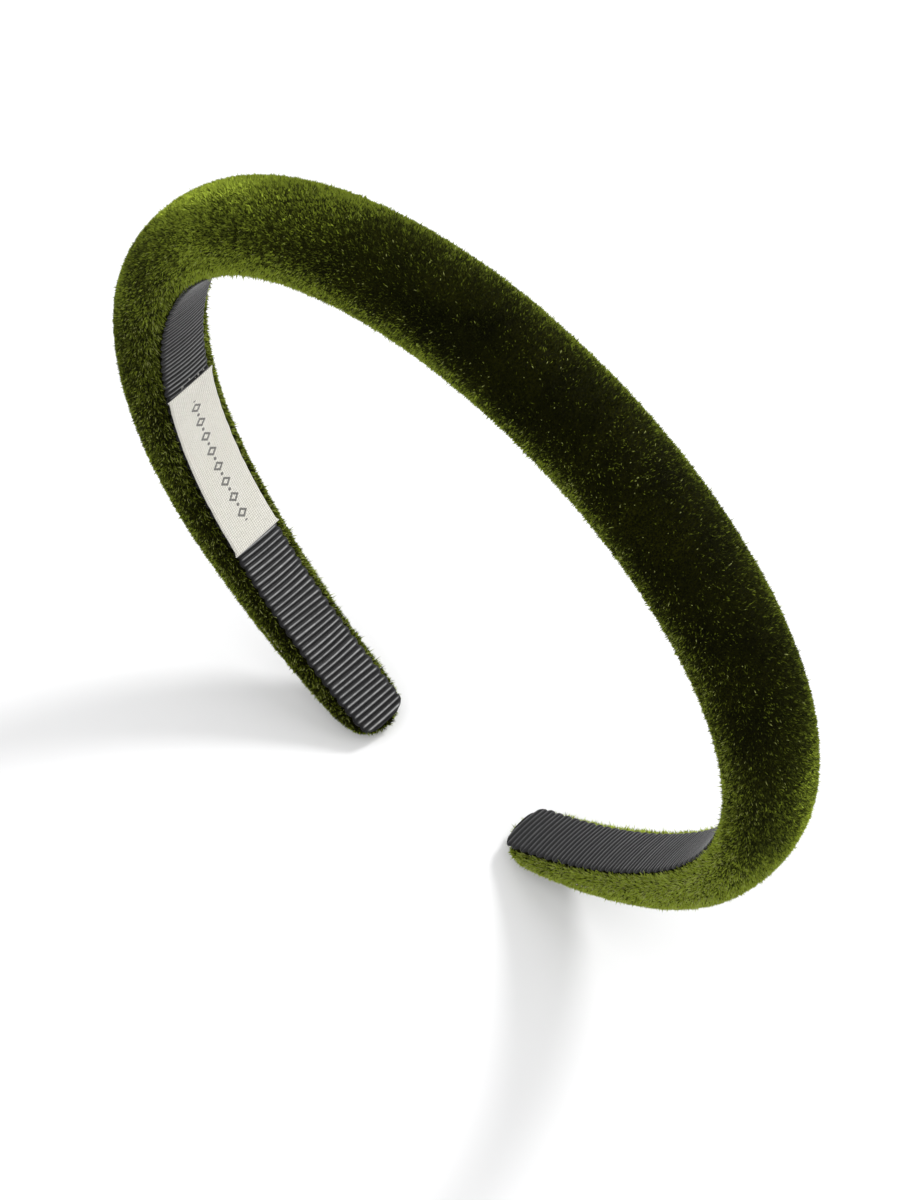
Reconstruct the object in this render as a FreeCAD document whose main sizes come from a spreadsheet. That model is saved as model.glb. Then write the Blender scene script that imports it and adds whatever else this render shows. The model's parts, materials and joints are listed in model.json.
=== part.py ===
import FreeCAD, Part
import math
import os

import Sketcher

# A padded velvet headband that stands on its two curled arms.
# Frame: +Z up, X from arm to arm, Y across the band. The origin is on the ground below the crown.
# The whole band follows one flat curve, the visible face of the ribbon that lines it: crown, side
# and tail are three tangent arcs, the same on both arms. Every layer is an offset from that face,
# measured outward, and every length along the curve starts at the crown.
# Each arm is a body of its own, and the two meet in the plane X = 0 under the crown.

doc = FreeCAD.newDocument("padded_headband")
dims = doc.addObject("Spreadsheet::Sheet", "Dims")

DRIVING = [
    # the curve of the lining's visible face, from the crown to a tip (mm and degrees)
    ("crown_radius", 63.0),
    ("crown_angle", 85.0),
    ("side_radius", 65.0),
    ("side_angle", 40.5),
    ("tail_radius", 113.0),
    ("tail_angle", 25.0),
    ("crown_height", 135.92),
    # the padded section: full at the crown, slimmer towards the tips, rounded off at their ends
    ("band_width_crown", 19.6),
    ("band_width_tip", 13.8),
    ("width_taper", 4.0),
    ("band_depth_crown", 14.5),
    ("band_depth_tip", 4.3),
    ("depth_taper", 2.5),
    ("tip_rounding", 9.8),
    ("tip_width_share", 0.45),
    ("tip_depth_share", 0.5),
    ("belly", 1.2),
    ("pile_rise", 0.3),
    # velvet cover, glued down inside as two hems with a gap between them
    ("cover_wall", 1.0),
    ("hem_thickness", 1.0),
    ("hem_gap", 4.0),
    ("hem_gap_inset", 10.0),
    # springy core strip, and the tape that holds the foam to it
    ("core_width", 9.6),
    ("core_thickness", 1.1),
    ("core_inset", 2.0),
    ("core_corner", 4.5),
    ("tape_width", 8.0),
    ("tape_thickness", 0.2),
    ("tape_inset", 16.0),
    ("foam_inset", 14.0),
    ("foam_clearance", 0.15),
    # ribbon lining and the glue under it
    ("lining_width", 10.0),
    ("lining_thickness", 0.5),
    ("lining_inset", 1.0),
    ("lining_corner", 2.5),
    ("glue_width", 9.0),
    ("glue_thickness", 0.2),
    ("glue_inset", 3.5),
    # woven label on the left arm, glued on where the ribbon's ribs are pressed flat
    ("label_start", 107.5),
    ("label_length", 37.5),
    ("label_width", 10.3),
    ("label_thickness", 0.2),
    ("label_seat", 0.2),
    ("label_glue_margin", 1.0),
    ("label_glue_thickness", 0.05),
]
for row, (alias, value) in enumerate(DRIVING, start=1):
    dims.set(f"A{row}", alias)
    dims.set(f"B{row}", str(value))
    dims.setAlias(f"B{row}", alias)
doc.recompute()

RIGHT, LEFT = 1, -1
SIDE_NAME = {RIGHT: "right", LEFT: "left"}

# The arcs from the crown outward, as (radius, angle) names in the sheet.
ARCS = [("crown_radius", "crown_angle"), ("side_radius", "side_angle"), ("tail_radius", "tail_angle")]


def arc_length(radius, angle):
    return f"Dims.{radius} * Dims.{angle} * pi / 180"


# Sheet expressions: where each arc begins and ends, as lengths from the crown.
ARC_ENDS = ["0"]
for arc in ARCS:
    ARC_ENDS.append(f"{ARC_ENDS[-1]} + {arc_length(*arc)}")
CROWN, TIP = ARC_ENDS[0], ARC_ENDS[-1]

# Sheet expressions: how far out each layer begins.
GLUE_IN = "Dims.lining_thickness"
HEM_IN = f"{GLUE_IN} + Dims.glue_thickness"
CORE_IN = f"{HEM_IN} + Dims.hem_thickness"
TAPE_IN = f"{CORE_IN} + Dims.core_thickness"
FOAM_IN = f"{TAPE_IN} + Dims.tape_thickness"
LABEL_GLUE_IN = "Dims.label_seat - Dims.label_glue_thickness"
LABEL_IN = f"{LABEL_GLUE_IN} - Dims.label_thickness"
LABEL_START, LABEL_STOP = "Dims.label_start", "Dims.label_start + Dims.label_length"

# Cutting strips reach from inside the band's inner face to a given layer, past both edges.
CUT_FROM = "-4"
CUT_WIDTH = "2 * Dims.band_width_crown"
PAST_TIP = f"{TIP} + 3"


def value_of(expression):
    """The number that a sheet expression stands for."""
    return float(dims.evalExpression(expression))


ARM_LENGTH = value_of(TIP)


def turn_at(length):
    """How far the curve has turned from level, in radians, at a length from the crown."""
    turn = 0.0
    for k, (radius, angle) in enumerate(ARCS):
        start, stop = value_of(ARC_ENDS[k]), value_of(ARC_ENDS[k + 1])
        if length <= stop or k == len(ARCS) - 1:
            return turn + (length - start) / value_of(f"Dims.{radius}")
        turn += math.radians(value_of(f"Dims.{angle}"))


def centre_expressions(index, side):
    """Sheet expressions for the centre of one of the arcs: across and up."""
    across, up, turned = "0", "Dims.crown_height - Dims.crown_radius", "0"
    for (radius, angle), (next_radius, _) in zip(ARCS[:index], ARCS[1:]):
        change = f"(Dims.{radius} - Dims.{next_radius})"
        turned += f" + Dims.{angle}"
        across += f" + {side} * {change} * sin(({turned}) * 1 deg)"
        up += f" + {change} * cos(({turned}) * 1 deg)"
    return across, up


def arc_at(length):
    """The number of the arc that holds a length from the crown."""
    ends = [value_of(end) for end in ARC_ENDS[1:-1]]
    return sum(length > end + 1e-6 for end in ends)


def point_at(length, side, offset=0.0):
    """A point of the curve, or one at that offset outside it, and the outward direction there."""
    index, turn = arc_at(length), turn_at(length)
    across, up = (value_of(e) for e in centre_expressions(index, side))
    outward = FreeCAD.Vector(side * math.sin(turn), 0, math.cos(turn))
    radius = value_of(f"Dims.{ARCS[index][0]}") + offset
    return FreeCAD.Vector(across, 0, up) + outward * radius, outward


# ------------------------------------------------------------------ flat strips: sketch and pad

def strip(label, side, layer_in, thickness, width, start, stop, corner=None):
    """A strip of even width and thickness along the curve, as a padded sketch.

    All sizes are sheet expressions. corner rounds both corners of the end towards the tip.
    """
    body = doc.addObject("PartDesign::Body", label)
    body.Label = label
    sketch = body.newObject("Sketcher::SketchObject", f"{label}_outline")
    plane = next(f for f in body.Origin.OriginFeatures if f.Role == "XZ_Plane")
    sketch.AttachmentSupport = [(plane, "")]
    sketch.MapMode = "FlatFace"

    first, last = arc_at(value_of(start) + 1e-3), arc_at(value_of(stop) - 1e-3)
    indexes = list(range(first, last + 1))
    begins = [start] + [ARC_ENDS[k] for k in indexes[1:]]
    ends = [ARC_ENDS[k + 1] for k in indexes[:-1]] + [stop]
    near, far = (2, 1) if side == RIGHT else (1, 2)  # the ends of an arc towards crown and tip

    def arcs_at(offset):
        numbers = []
        for k, begin, end in zip(indexes, begins, ends):
            across, up = (value_of(e) for e in centre_expressions(k, side))
            turns = [turn_at(value_of(begin) + 1e-9), turn_at(value_of(end) - 1e-9)]
            angles = sorted(math.pi / 2 - side * turn for turn in turns)
            circle = Part.Circle(FreeCAD.Vector(across, up, 0), FreeCAD.Vector(0, 0, 1),
                                 value_of(f"Dims.{ARCS[k][0]}") + offset)
            numbers.append(sketch.addGeometry(Part.ArcOfCircle(circle, *angles), False))
        return numbers

    inner = arcs_at(value_of(layer_in))
    outer = arcs_at(value_of(f"{layer_in} + {thickness}"))

    def end_line(arc_k, vertex):
        points = sketch.getPoint(inner[arc_k], vertex), sketch.getPoint(outer[arc_k], vertex)
        line = sketch.addGeometry(Part.LineSegment(*points), False)
        fix("Coincident", line, 1, inner[arc_k], vertex)
        fix("Coincident", line, 2, outer[arc_k], vertex)
        fix("PointOnObject", inner[arc_k], 3, line)
        return line

    def fix(kind, *where, to=None):
        number = sketch.addConstraint(Sketcher.Constraint(kind, *where))
        if to:
            sketch.setExpression(f"Constraints[{number}]", to)

    near_line = end_line(0, near)
    end_line(-1, far)
    for row_of_arcs in (inner, outer):
        for before, after in zip(row_of_arcs, row_of_arcs[1:]):
            fix("Tangent", before, far, after, near)
    for k, begin, end, arc_in, arc_out in zip(indexes, begins, ends, inner, outer):
        radius = f"Dims.{ARCS[k][0]}"
        span = f"(({end}) - ({begin})) / {radius}"
        fix("Coincident", arc_out, 3, arc_in, 3)
        fix("Radius", arc_in, value_of(f"{radius} + {layer_in}"), to=f"{radius} + {layer_in}")
        fix("Angle", arc_in, value_of(span), to=f"{span} * 180 / pi * 1 deg")
    radius = f"Dims.{ARCS[first][0]} + {layer_in} + {thickness}"
    fix("Radius", outer[0], value_of(radius), to=radius)
    across, up = centre_expressions(first, side)
    fix("DistanceX", -1, 1, inner[0], 3, value_of(across), to=across)
    fix("DistanceY", -1, 1, inner[0], 3, value_of(up), to=up)
    turned = " + ".join(["0"] + [f"Dims.{angle}" for _, angle in ARCS[:first]])
    turned += f" + (({start}) - ({ARC_ENDS[first]})) / Dims.{ARCS[first][0]} * 180 / pi"
    lean = f"90 - {side} * ({turned})"
    fix("Angle", near_line, math.radians(value_of(lean)), to=f"({lean}) * 1 deg")
    doc.recompute()

    pad = body.newObject("PartDesign::Pad", f"{label}_pad")
    pad.Profile = sketch
    pad.SideType = "Symmetric"
    pad.setExpression("Length", width)
    doc.recompute()
    if corner:
        tip, _ = point_at(value_of(stop), side, value_of(f"{layer_in} + ({thickness}) / 2"))
        reach = value_of(thickness)
        names = [
            f"Edge{number}"
            for number, edge in enumerate(pad.Shape.Edges, start=1)
            if math.hypot(edge.CenterOfMass.x - tip.x, edge.CenterOfMass.z - tip.z) < reach / 4
            and abs(edge.Length - reach) < reach / 4
        ]
        rounding = body.newObject("PartDesign::Fillet", f"{label}_corners")
        rounding.Base = (pad, names)
        rounding.setExpression("Radius", corner)
        doc.recompute()
    return body


# ------------------------------------------------------------------ padded forms: loft of ellipses

STATIONS = 11  # evenly spaced ellipses from the crown to where the tip's rounding starts
TIP_STATIONS = (0.65, 0.4, 0.2, 0.08, 0.0)  # shares of the tip's rounding still to go


def station_lengths(end_inset):
    """Lengths from the crown where a padded form has a section, up to its end."""
    rounding = value_of("Dims.tip_rounding")
    body_end, stop = ARM_LENGTH - rounding, ARM_LENGTH - end_inset
    lengths = [body_end * k / (STATIONS - 1) for k in range(STATIONS)]
    lengths += [ARM_LENGTH - rounding * share for share in TIP_STATIONS]
    return [length for length in lengths if length < stop - 0.3] + [stop]


def section_expressions(length):
    """Sheet expressions for the width and the depth of the padded band at a length."""
    share = length / ARM_LENGTH
    to_go = min(1.0, (ARM_LENGTH - length) / value_of("Dims.tip_rounding"))
    rounding = math.sqrt(1 - (1 - to_go) ** 2)

    def expression(what, taper):
        crown, tip, end = f"Dims.band_{what}_crown", f"Dims.band_{what}_tip", f"Dims.tip_{what}_share"
        full = f"({tip} + ({crown} - {tip}) * (1 - {share:.5f} ^ Dims.{taper}))"
        return f"{full} * ({end} + (1 - {end}) * {rounding:.5f})"

    return expression("width", "width_taper"), expression("depth", "depth_taper")


def padded_form(label, side, shrink, end_inset):
    """A loft of ellipses along the arm, each lying across the curve and pulled in by shrink."""
    sections = []
    for k, length in enumerate(station_lengths(end_inset)):
        width, depth = section_expressions(length)
        middle, outward = point_at(length, side, value_of(f"(({depth}) - Dims.belly) / 2"))
        across = FreeCAD.Vector(0, 1, 0)
        along = across.cross(outward)
        ellipse = doc.addObject("Part::Ellipse", f"{label}_section_{k}")
        ellipse.setExpression("MajorRadius", f"({width}) / 2 - ({shrink})")
        ellipse.setExpression("MinorRadius", f"(({depth}) + Dims.belly) / 2 - ({shrink})")
        turned = FreeCAD.Rotation(across, outward, along, "ZXY")
        ellipse.Placement = FreeCAD.Placement(middle, turned)
        sections.append(ellipse)
    form = doc.addObject("Part::Loft", label)
    form.Sections = sections
    form.Solid = True
    form.Ruled = False
    doc.recompute()
    return form


def cut(label, base, *tools):
    """base less each tool in turn. The last cut carries the label."""
    for k, tool in enumerate(tools):
        step = doc.addObject("Part::Cut", label if k == len(tools) - 1 else f"{label}_less_{tool.Name}")
        step.Base = base
        step.Tool = tool
        base = step
    base.Label = label
    doc.recompute()
    return base


# ------------------------------------------------------------------ the pieces of one arm

def core_strip(side):
    return strip(f"core_strip_{SIDE_NAME[side]}", side, CORE_IN, "Dims.core_thickness", "Dims.core_width",
                 CROWN, f"{TIP} - Dims.core_inset", "Dims.core_corner")


def foam_tape(side):
    return strip(f"foam_tape_{SIDE_NAME[side]}", side, TAPE_IN, "Dims.tape_thickness", "Dims.tape_width",
                 CROWN, f"{TIP} - Dims.tape_inset")


def lining_glue(side):
    return strip(f"lining_glue_{SIDE_NAME[side]}", side, GLUE_IN, "Dims.glue_thickness", "Dims.glue_width",
                 CROWN, f"{TIP} - Dims.glue_inset")


def grosgrain_lining(side):
    name = f"grosgrain_lining_{SIDE_NAME[side]}"
    ribbon_name = name if side == RIGHT else f"{name}_flat"
    ribbon = strip(ribbon_name, side, "0", "Dims.lining_thickness", "Dims.lining_width",
                   CROWN, f"{TIP} - Dims.lining_inset", "Dims.lining_corner")
    if side == RIGHT:
        return ribbon
    seat = strip(f"{name}_seat", side, CUT_FROM, "4 + Dims.label_seat", CUT_WIDTH, LABEL_START, LABEL_STOP)
    return cut(name, ribbon, seat)


def foam_pad(side):
    name = f"foam_pad_{SIDE_NAME[side]}"
    form = padded_form(f"{name}_form", side, "Dims.cover_wall + Dims.foam_clearance",
                       value_of("Dims.foam_inset"))
    below = strip(f"{name}_underside", side, CUT_FROM, f"4 + {FOAM_IN}", CUT_WIDTH, CROWN, PAST_TIP)
    return cut(name, form, below)


def velvet_cover(side, core):
    name = f"velvet_cover_{SIDE_NAME[side]}"
    form = padded_form(f"{name}_form", side, "0", 0.0)
    inner_face = strip(f"{name}_inner_face", side, CUT_FROM, "4 + Dims.pile_rise", CUT_WIDTH, CROWN, PAST_TIP)
    seat = strip(f"{name}_seat", side, CUT_FROM, f"4 + {HEM_IN}", "Dims.lining_width",
                 CROWN, f"{TIP} - Dims.lining_inset", "Dims.lining_corner")
    gap = strip(f"{name}_gap", side, CUT_FROM, f"4 + {CORE_IN}", "Dims.hem_gap",
                CROWN, f"{TIP} - Dims.hem_gap_inset")
    room = padded_form(f"{name}_room_form", side, "Dims.cover_wall", value_of("1.5 * Dims.cover_wall"))
    below_room = strip(f"{name}_hems", side, CUT_FROM, f"4 + {CORE_IN}", CUT_WIDTH, CROWN, PAST_TIP)
    room_for_foam = cut(f"{name}_room", room, below_room)
    return cut(name, form, inner_face, seat, gap, room_for_foam, core)


def label_pieces():
    """The woven label on the left arm's lining, and its glue."""
    margin = "Dims.label_glue_margin"
    glue = strip("label_glue", LEFT, LABEL_GLUE_IN, "Dims.label_glue_thickness",
                 f"Dims.lining_width - 2 * {margin}", f"{LABEL_START} + {margin}", f"{LABEL_STOP} - {margin}")
    label = strip("woven_label", LEFT, LABEL_IN, "Dims.label_thickness", "Dims.label_width",
                  LABEL_START, LABEL_STOP)
    return [glue, label]


pieces = []
for arm in (LEFT, RIGHT):
    core = core_strip(arm)
    pieces += [core, foam_tape(arm), foam_pad(arm), velvet_cover(arm, core)]
    pieces += [lining_glue(arm), grosgrain_lining(arm)]
pieces += label_pieces()
doc.recompute()

for thing in doc.Objects:
    assert "Invalid" not in thing.State and "Error" not in thing.State, f"{thing.Label}: {thing.State}"
for sketch in doc.findObjects("Sketcher::SketchObject"):
    assert sketch.FullyConstrained, f"{sketch.Label} is open to change"
for piece in pieces:
    shape = piece.Shape
    assert not shape.isNull() and shape.isValid() and shape.Volume > 0, piece.Label
    assert len(shape.Solids) == 1, f"{piece.Label} has {len(shape.Solids)} solids"

lowest = min(piece.Shape.optimalBoundingBox().ZMin for piece in pieces)
assert abs(lowest) < 0.05, f"the band stands at {lowest:.3f} mm: correct crown_height"

os.makedirs("parts", exist_ok=True)
for piece in pieces:
    piece.Shape.exportStep(f"parts/{piece.Label}.step")
    box = piece.Shape.optimalBoundingBox()
    print(f"{piece.Label:24} {piece.Shape.Volume:9.1f} mm3  Z {box.ZMin:7.2f} to {box.ZMax:7.2f}")
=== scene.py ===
import json
import math

import bmesh
import bpy
import numpy as np
from mathutils import Matrix, Vector, noise
from mathutils.bvhtree import BVHTree
from mathutils.kdtree import KDTree


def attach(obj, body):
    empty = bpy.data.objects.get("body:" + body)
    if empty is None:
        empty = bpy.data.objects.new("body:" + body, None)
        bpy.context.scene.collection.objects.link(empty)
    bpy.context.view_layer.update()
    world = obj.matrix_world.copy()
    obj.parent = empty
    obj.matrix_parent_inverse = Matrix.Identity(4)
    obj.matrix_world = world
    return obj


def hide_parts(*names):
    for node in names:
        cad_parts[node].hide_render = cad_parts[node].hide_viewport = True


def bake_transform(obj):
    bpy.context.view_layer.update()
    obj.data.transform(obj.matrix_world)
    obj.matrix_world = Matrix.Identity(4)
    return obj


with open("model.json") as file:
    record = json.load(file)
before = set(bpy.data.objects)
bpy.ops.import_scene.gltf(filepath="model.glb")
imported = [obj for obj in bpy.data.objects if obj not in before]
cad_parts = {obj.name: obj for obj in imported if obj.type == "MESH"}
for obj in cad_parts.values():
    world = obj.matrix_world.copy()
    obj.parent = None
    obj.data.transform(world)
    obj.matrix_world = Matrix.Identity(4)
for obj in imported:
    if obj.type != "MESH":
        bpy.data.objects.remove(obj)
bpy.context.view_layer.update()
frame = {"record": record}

# A padded velvet headband on its two curled arms. Lengths are in metres, in the frame of the CAD.
# s is a length along the band from the crown, negative on the left arm; y runs across the band;
# out is measured outward from the visible face of the ribbon that lines the band.

MM = 0.001

# ------------------------------------------------------------------ the band's curve

CLAMP = next(m for m in frame["record"]["mounts"] if m["name"] == "head_clamp")
CROWN_RADIUS = CLAMP["dims"]["r_mm"] * MM
CROWN_Z = CLAMP["pos_m"][2] + CROWN_RADIUS

# The radius and the turn of each arc of an arm, from the crown to the tip.
ARCS = (
    (CROWN_RADIUS, math.radians(85.0)),
    (65.0 * MM, math.radians(40.5)),
    (113.0 * MM, math.radians(25.0)),
)
ARM = sum(radius * turn for radius, turn in ARCS)


def curve(s):
    """x, z and the outward direction of the lining's visible face at each s."""
    side, length = np.where(s < 0, -1.0, 1.0), np.abs(s)
    x, z, turn, begin = 0.0 * s, CROWN_Z + 0.0 * s, 0.0 * s, 0.0
    for k, (radius, span) in enumerate(ARCS):
        last = k == len(ARCS) - 1
        step = np.clip((length - begin) / radius, 0.0, math.pi if last else span)
        x = x + radius * (np.sin(turn + step) - np.sin(turn))
        z = z - radius * (np.cos(turn) - np.cos(turn + step))
        turn = turn + step
        begin += radius * span
    return side * x, z, side * np.sin(turn), np.cos(turn)


def place(s, y, out):
    """Points of the band at s, y and out, as rows of x, y, z."""
    s, y, out = np.broadcast_arrays(np.asarray(s, float), y, out)
    x, z, nx, nz = curve(s)
    return np.stack([x + out * nx, y, z + out * nz], -1)


# The padded section with its pile: full at the crown, slimmer at the tips, flatter on the inside.
WIDTH_CROWN, WIDTH_TIP, WIDTH_TAPER = 19.4 * MM, 13.7 * MM, 4.2
DEPTH_CROWN, DEPTH_TIP, DEPTH_TAPER = 14.2 * MM, 4.0 * MM, 2.5
INNER_FACE = 0.3 * MM
INNER_ACROSS, INNER_UP = 0.75, 0.48

# A tip is round in plan over TIP_ROUNDING. Over the last TIP_CLOSING of that its depth closes too,
# toward a height of TIP_LIFT of half the depth over the inner face.
TIP_ROUNDING, TIP_POWER, TIP_CLOSING = 9.8 * MM, 3.1, 0.2
TIP_LIFT = 0.25


def section(s, angle, inset=0.0):
    """y and out of the padded section at s and at an angle round it, pulled in by inset."""
    share = np.clip(np.abs(s) / ARM, 0.0, 1.0)
    to_go = np.clip((ARM - inset - np.abs(s)) / TIP_ROUNDING, 0.0, 1.0)
    rounding = (1 - (1 - to_go) ** TIP_POWER) ** (1 / TIP_POWER)
    closing = quarter_round(np.clip(to_go / TIP_CLOSING, 0.0, 1.0))
    width = WIDTH_TIP + (WIDTH_CROWN - WIDTH_TIP) * (1 - share**WIDTH_TAPER) - 2 * inset
    depth = DEPTH_TIP + (DEPTH_CROWN - DEPTH_TIP) * (1 - share**DEPTH_TAPER) - 2 * inset
    half_depth = 0.25 * depth * (1 + rounding)
    across, up = np.cos(angle), np.sin(angle)
    inner = up < 0
    across = np.where(inner, signed_power(across, INNER_ACROSS), across)
    up = np.where(inner, signed_power(up, INNER_UP), up)
    y = 0.5 * width * rounding * across
    rise = TIP_LIFT * (1 - closing) + closing * (1 + up)
    return y, INNER_FACE + inset + half_depth * rise


def quarter_round(share):
    """Rises from 0 to 1 as a quarter of a circle while share goes from 0 to 1."""
    return np.sqrt(1 - (1 - share) ** 2)


def signed_power(value, power):
    return np.sign(value) * np.abs(value) ** power


def angles_round(count, shift=0.0):
    """Even angles round a section, as one row."""
    return 2 * math.pi * (np.arange(count)[None] + shift) / count


# ------------------------------------------------------------------ smooth noise

def noise_grid(rows, columns, row_scale, column_scale, layer):
    """Smooth noise over a grid of rows and columns; each layer is a different noise."""
    return np.array([[noise.noise((row * row_scale, column * column_scale, layer))
                      for column in np.ravel(columns)] for row in np.ravel(rows)])


def noise_at(points, scale):
    """Smooth noise at each point, as one column."""
    return np.array([[noise.noise(Vector(point) * scale)] for point in points])


def noise_vectors_at(points, scale):
    """Smooth noise with three parts at each point, as rows."""
    return np.array([noise.noise_vector(Vector(point) * scale) for point in points])


# ------------------------------------------------------------------ meshes

def new_object(name, points, faces, smooth=True):
    mesh = bpy.data.meshes.new(name)
    mesh.from_pydata(np.asarray(points).reshape(-1, 3).tolist(), [], faces)
    mesh.update()
    obj = bpy.data.objects.new(name, mesh)
    if smooth:
        shade_smooth(obj)
    bpy.context.scene.collection.objects.link(obj)
    return obj


def shade_smooth(obj):
    obj.data.polygons.foreach_set("use_smooth", [True] * len(obj.data.polygons))


def ring_tube(name, rings):
    """A closed tube through rings of points, with a fan of faces over each end.

    Its last two points are the middles of the two fans.
    """
    count, around, _ = rings.shape
    faces = []
    for i in range(count - 1):
        for j in range(around):
            k = (j + 1) % around
            faces.append((i * around + j, (i + 1) * around + j, (i + 1) * around + k, i * around + k))
    middles = [rings[0].mean(0), rings[-1].mean(0)]
    first, last = count * around, count * around + 1
    for j in range(around):
        k = (j + 1) % around
        faces.append((first, j, k))
        faces.append((last, (count - 1) * around + k, (count - 1) * around + j))
    tube = new_object(name, np.concatenate([rings.reshape(-1, 3), middles]), faces)
    shape = bmesh.new()
    shape.from_mesh(tube.data)
    bmesh.ops.recalc_face_normals(shape, faces=shape.faces)
    shape.to_mesh(tube.data)
    shape.free()
    return tube


def with_middles(values, at_middles=0.0):
    """The values of a tube's rings as one row, followed by a value for each of its two middles."""
    return np.append(np.ravel(values), [at_middles, at_middles])


def coords(obj):
    flat = np.empty(len(obj.data.vertices) * 3)
    obj.data.vertices.foreach_get("co", flat)
    return flat.reshape(-1, 3)


def set_coords(obj, points):
    obj.data.vertices.foreach_set("co", np.asarray(points, float).ravel())
    obj.data.update()


def apply_modifiers(obj):
    """The mesh with its modifiers takes the place of the mesh without them."""
    graph = bpy.context.evaluated_depsgraph_get()
    mesh = bpy.data.meshes.new_from_object(obj.evaluated_get(graph), depsgraph=graph)
    obj.modifiers.clear()
    old, obj.data = obj.data, mesh
    bpy.data.meshes.remove(old)


def subdivide(obj, levels):
    smoother = obj.modifiers.new("smoother", "SUBSURF")
    smoother.levels = smoother.render_levels = levels
    apply_modifiers(obj)


CURVE_SAMPLES = 1601
MID_OUT = 5 * MM


def band_lengths(points):
    """s of the nearest point along the middle of the band, for each point."""
    s = np.linspace(-ARM, ARM, CURVE_SAMPLES)
    tree = KDTree(len(s))
    for k, point in enumerate(place(s, 0.0, MID_OUT)):
        tree.insert(point, k)
    tree.balance()
    return np.array([s[tree.find((x, 0.0, z))[1]] for x, _, z in points])


def bend_over_crown(piece, lengths=None):
    """The piece is laid out straight, with its length along X, its transform is baked, and its points are
    then put back where they were.
    """
    rest = coords(piece)
    straight = np.zeros_like(rest)
    straight[:, 0] = band_lengths(rest) if lengths is None else lengths
    set_coords(piece, straight)
    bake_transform(piece)
    set_coords(piece, rest)


def add_uv(obj, u, v):
    """A UV map in millimetres, from a value for each vertex."""
    layer = obj.data.uv_layers.new(name="cloth_mm")
    loops = np.empty(len(obj.data.loops), int)
    obj.data.loops.foreach_get("vertex_index", loops)
    layer.data.foreach_set("uv", np.stack([u[loops], v[loops]], -1).ravel() / MM)


def add_value(obj, name, values):
    attribute = obj.data.attributes.new(name, "FLOAT", "POINT")
    attribute.data.foreach_set("value", np.asarray(values, np.float32))


# ------------------------------------------------------------------ materials

def srgb(*rgb):
    """Linear colour of an sRGB colour given from 0 to 255, with alpha."""
    linear = [c / 255 / 12.92 if c <= 10 else ((c / 255 + 0.055) / 1.055) ** 2.4 for c in rgb]
    return (*linear, 1.0)


class Nodes:
    """A material and short ways to add nodes to it."""

    def __init__(self, name, shader):
        self.material = bpy.data.materials.new(name)
        self.material.use_nodes = True
        self.tree = self.material.node_tree
        self.shader = self.tree.nodes["Principled BSDF"]
        for socket, value in shader.items():
            self.shader.inputs[socket].default_value = value

    def add(self, kind, settings=(), **inputs):
        node = self.tree.nodes.new(kind)
        for key, value in dict(settings).items():
            setattr(node, key, value)
        for key, value in inputs.items():
            self.put(node.inputs[key.replace("_", " ")], value)
        return node

    def put(self, socket, value):
        if isinstance(value, bpy.types.NodeSocket):
            self.tree.links.new(value, socket)
        else:
            socket.default_value = value

    def math(self, operation, a, b=0.0, c=0.0):
        node = self.tree.nodes.new("ShaderNodeMath")
        node.operation = operation
        for socket, value in zip(node.inputs, (a, b, c)):
            self.put(socket, value)
        return node.outputs[0]

    def wave(self, length, pitch):
        """A sine along a length, with one wave for each pitch."""
        return self.math("SINE", self.math("MULTIPLY", length, 2 * math.pi / pitch))

    def value(self, name):
        return self.add("ShaderNodeAttribute", {"attribute_name": name}).outputs["Fac"]

    def uv(self):
        map_node = self.add("ShaderNodeUVMap", {"uv_map": "cloth_mm"})
        split = self.add("ShaderNodeSeparateXYZ", Vector=map_node.outputs[0])
        return split.outputs["X"], split.outputs["Y"]

    def position(self):
        return self.add("ShaderNodeTexCoord").outputs["Object"]

    def noise(self, scale, detail=2.0):
        node = self.add("ShaderNodeTexNoise", Scale=scale, Detail=detail, Vector=self.position())
        return node.outputs["Fac"]

    def ramp(self, factor, *stops):
        node = self.add("ShaderNodeValToRGB", Fac=factor)
        points = node.color_ramp.elements
        while len(points) < len(stops):
            points.new(0.5)
        for point, (position, colour) in zip(points, stops):
            point.position, point.color = position, colour
        return node.outputs["Color"]

    def mix(self, factor, a, b, blend="MIX"):
        node = self.add("ShaderNodeMix", {"data_type": "RGBA", "blend_type": blend})
        for socket, value in zip((node.inputs[0], node.inputs[6], node.inputs[7]), (factor, a, b)):
            self.put(socket, value)
        return node.outputs[2]

    def colour(self, value):
        self.put(self.shader.inputs["Base Color"], value)

    def roughness(self, value):
        self.put(self.shader.inputs["Roughness"], value)

    def bump(self, height, distance, strength=1.0):
        node = self.add("ShaderNodeBump", Height=height, Distance=distance, Strength=strength)
        self.put(self.shader.inputs["Normal"], node.outputs["Normal"])


# The near-black first colour is painted shade, for the roots of the pile and the ground between its
# tufts.
VELVET_ROOT_SHADE, VELVET_DEEP, VELVET_LIT = srgb(9, 9, 0), srgb(38, 39, 4), srgb(150, 165, 52)
# A painted glint on a few tufts.
VELVET_SPARK = srgb(214, 222, 132)


def velvet_ground():
    """The woven ground of the velvet between its tufts: nearly black as painted shade, with a fine uneven
    grain.
    """
    m = Nodes("velvet_ground", {"Roughness": 0.9, "Specular IOR Level": 0.04, "Sheen Weight": 0.3,
                                "Sheen Roughness": 0.4, "Sheen Tint": srgb(120, 132, 20)})
    m.colour(m.ramp(m.noise(scale=90.0, detail=3.0), (0.3, VELVET_ROOT_SHADE), (0.75, VELVET_DEEP)))
    m.bump(m.noise(scale=2600.0), distance=0.25 * MM, strength=0.8)
    return m.material


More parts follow.
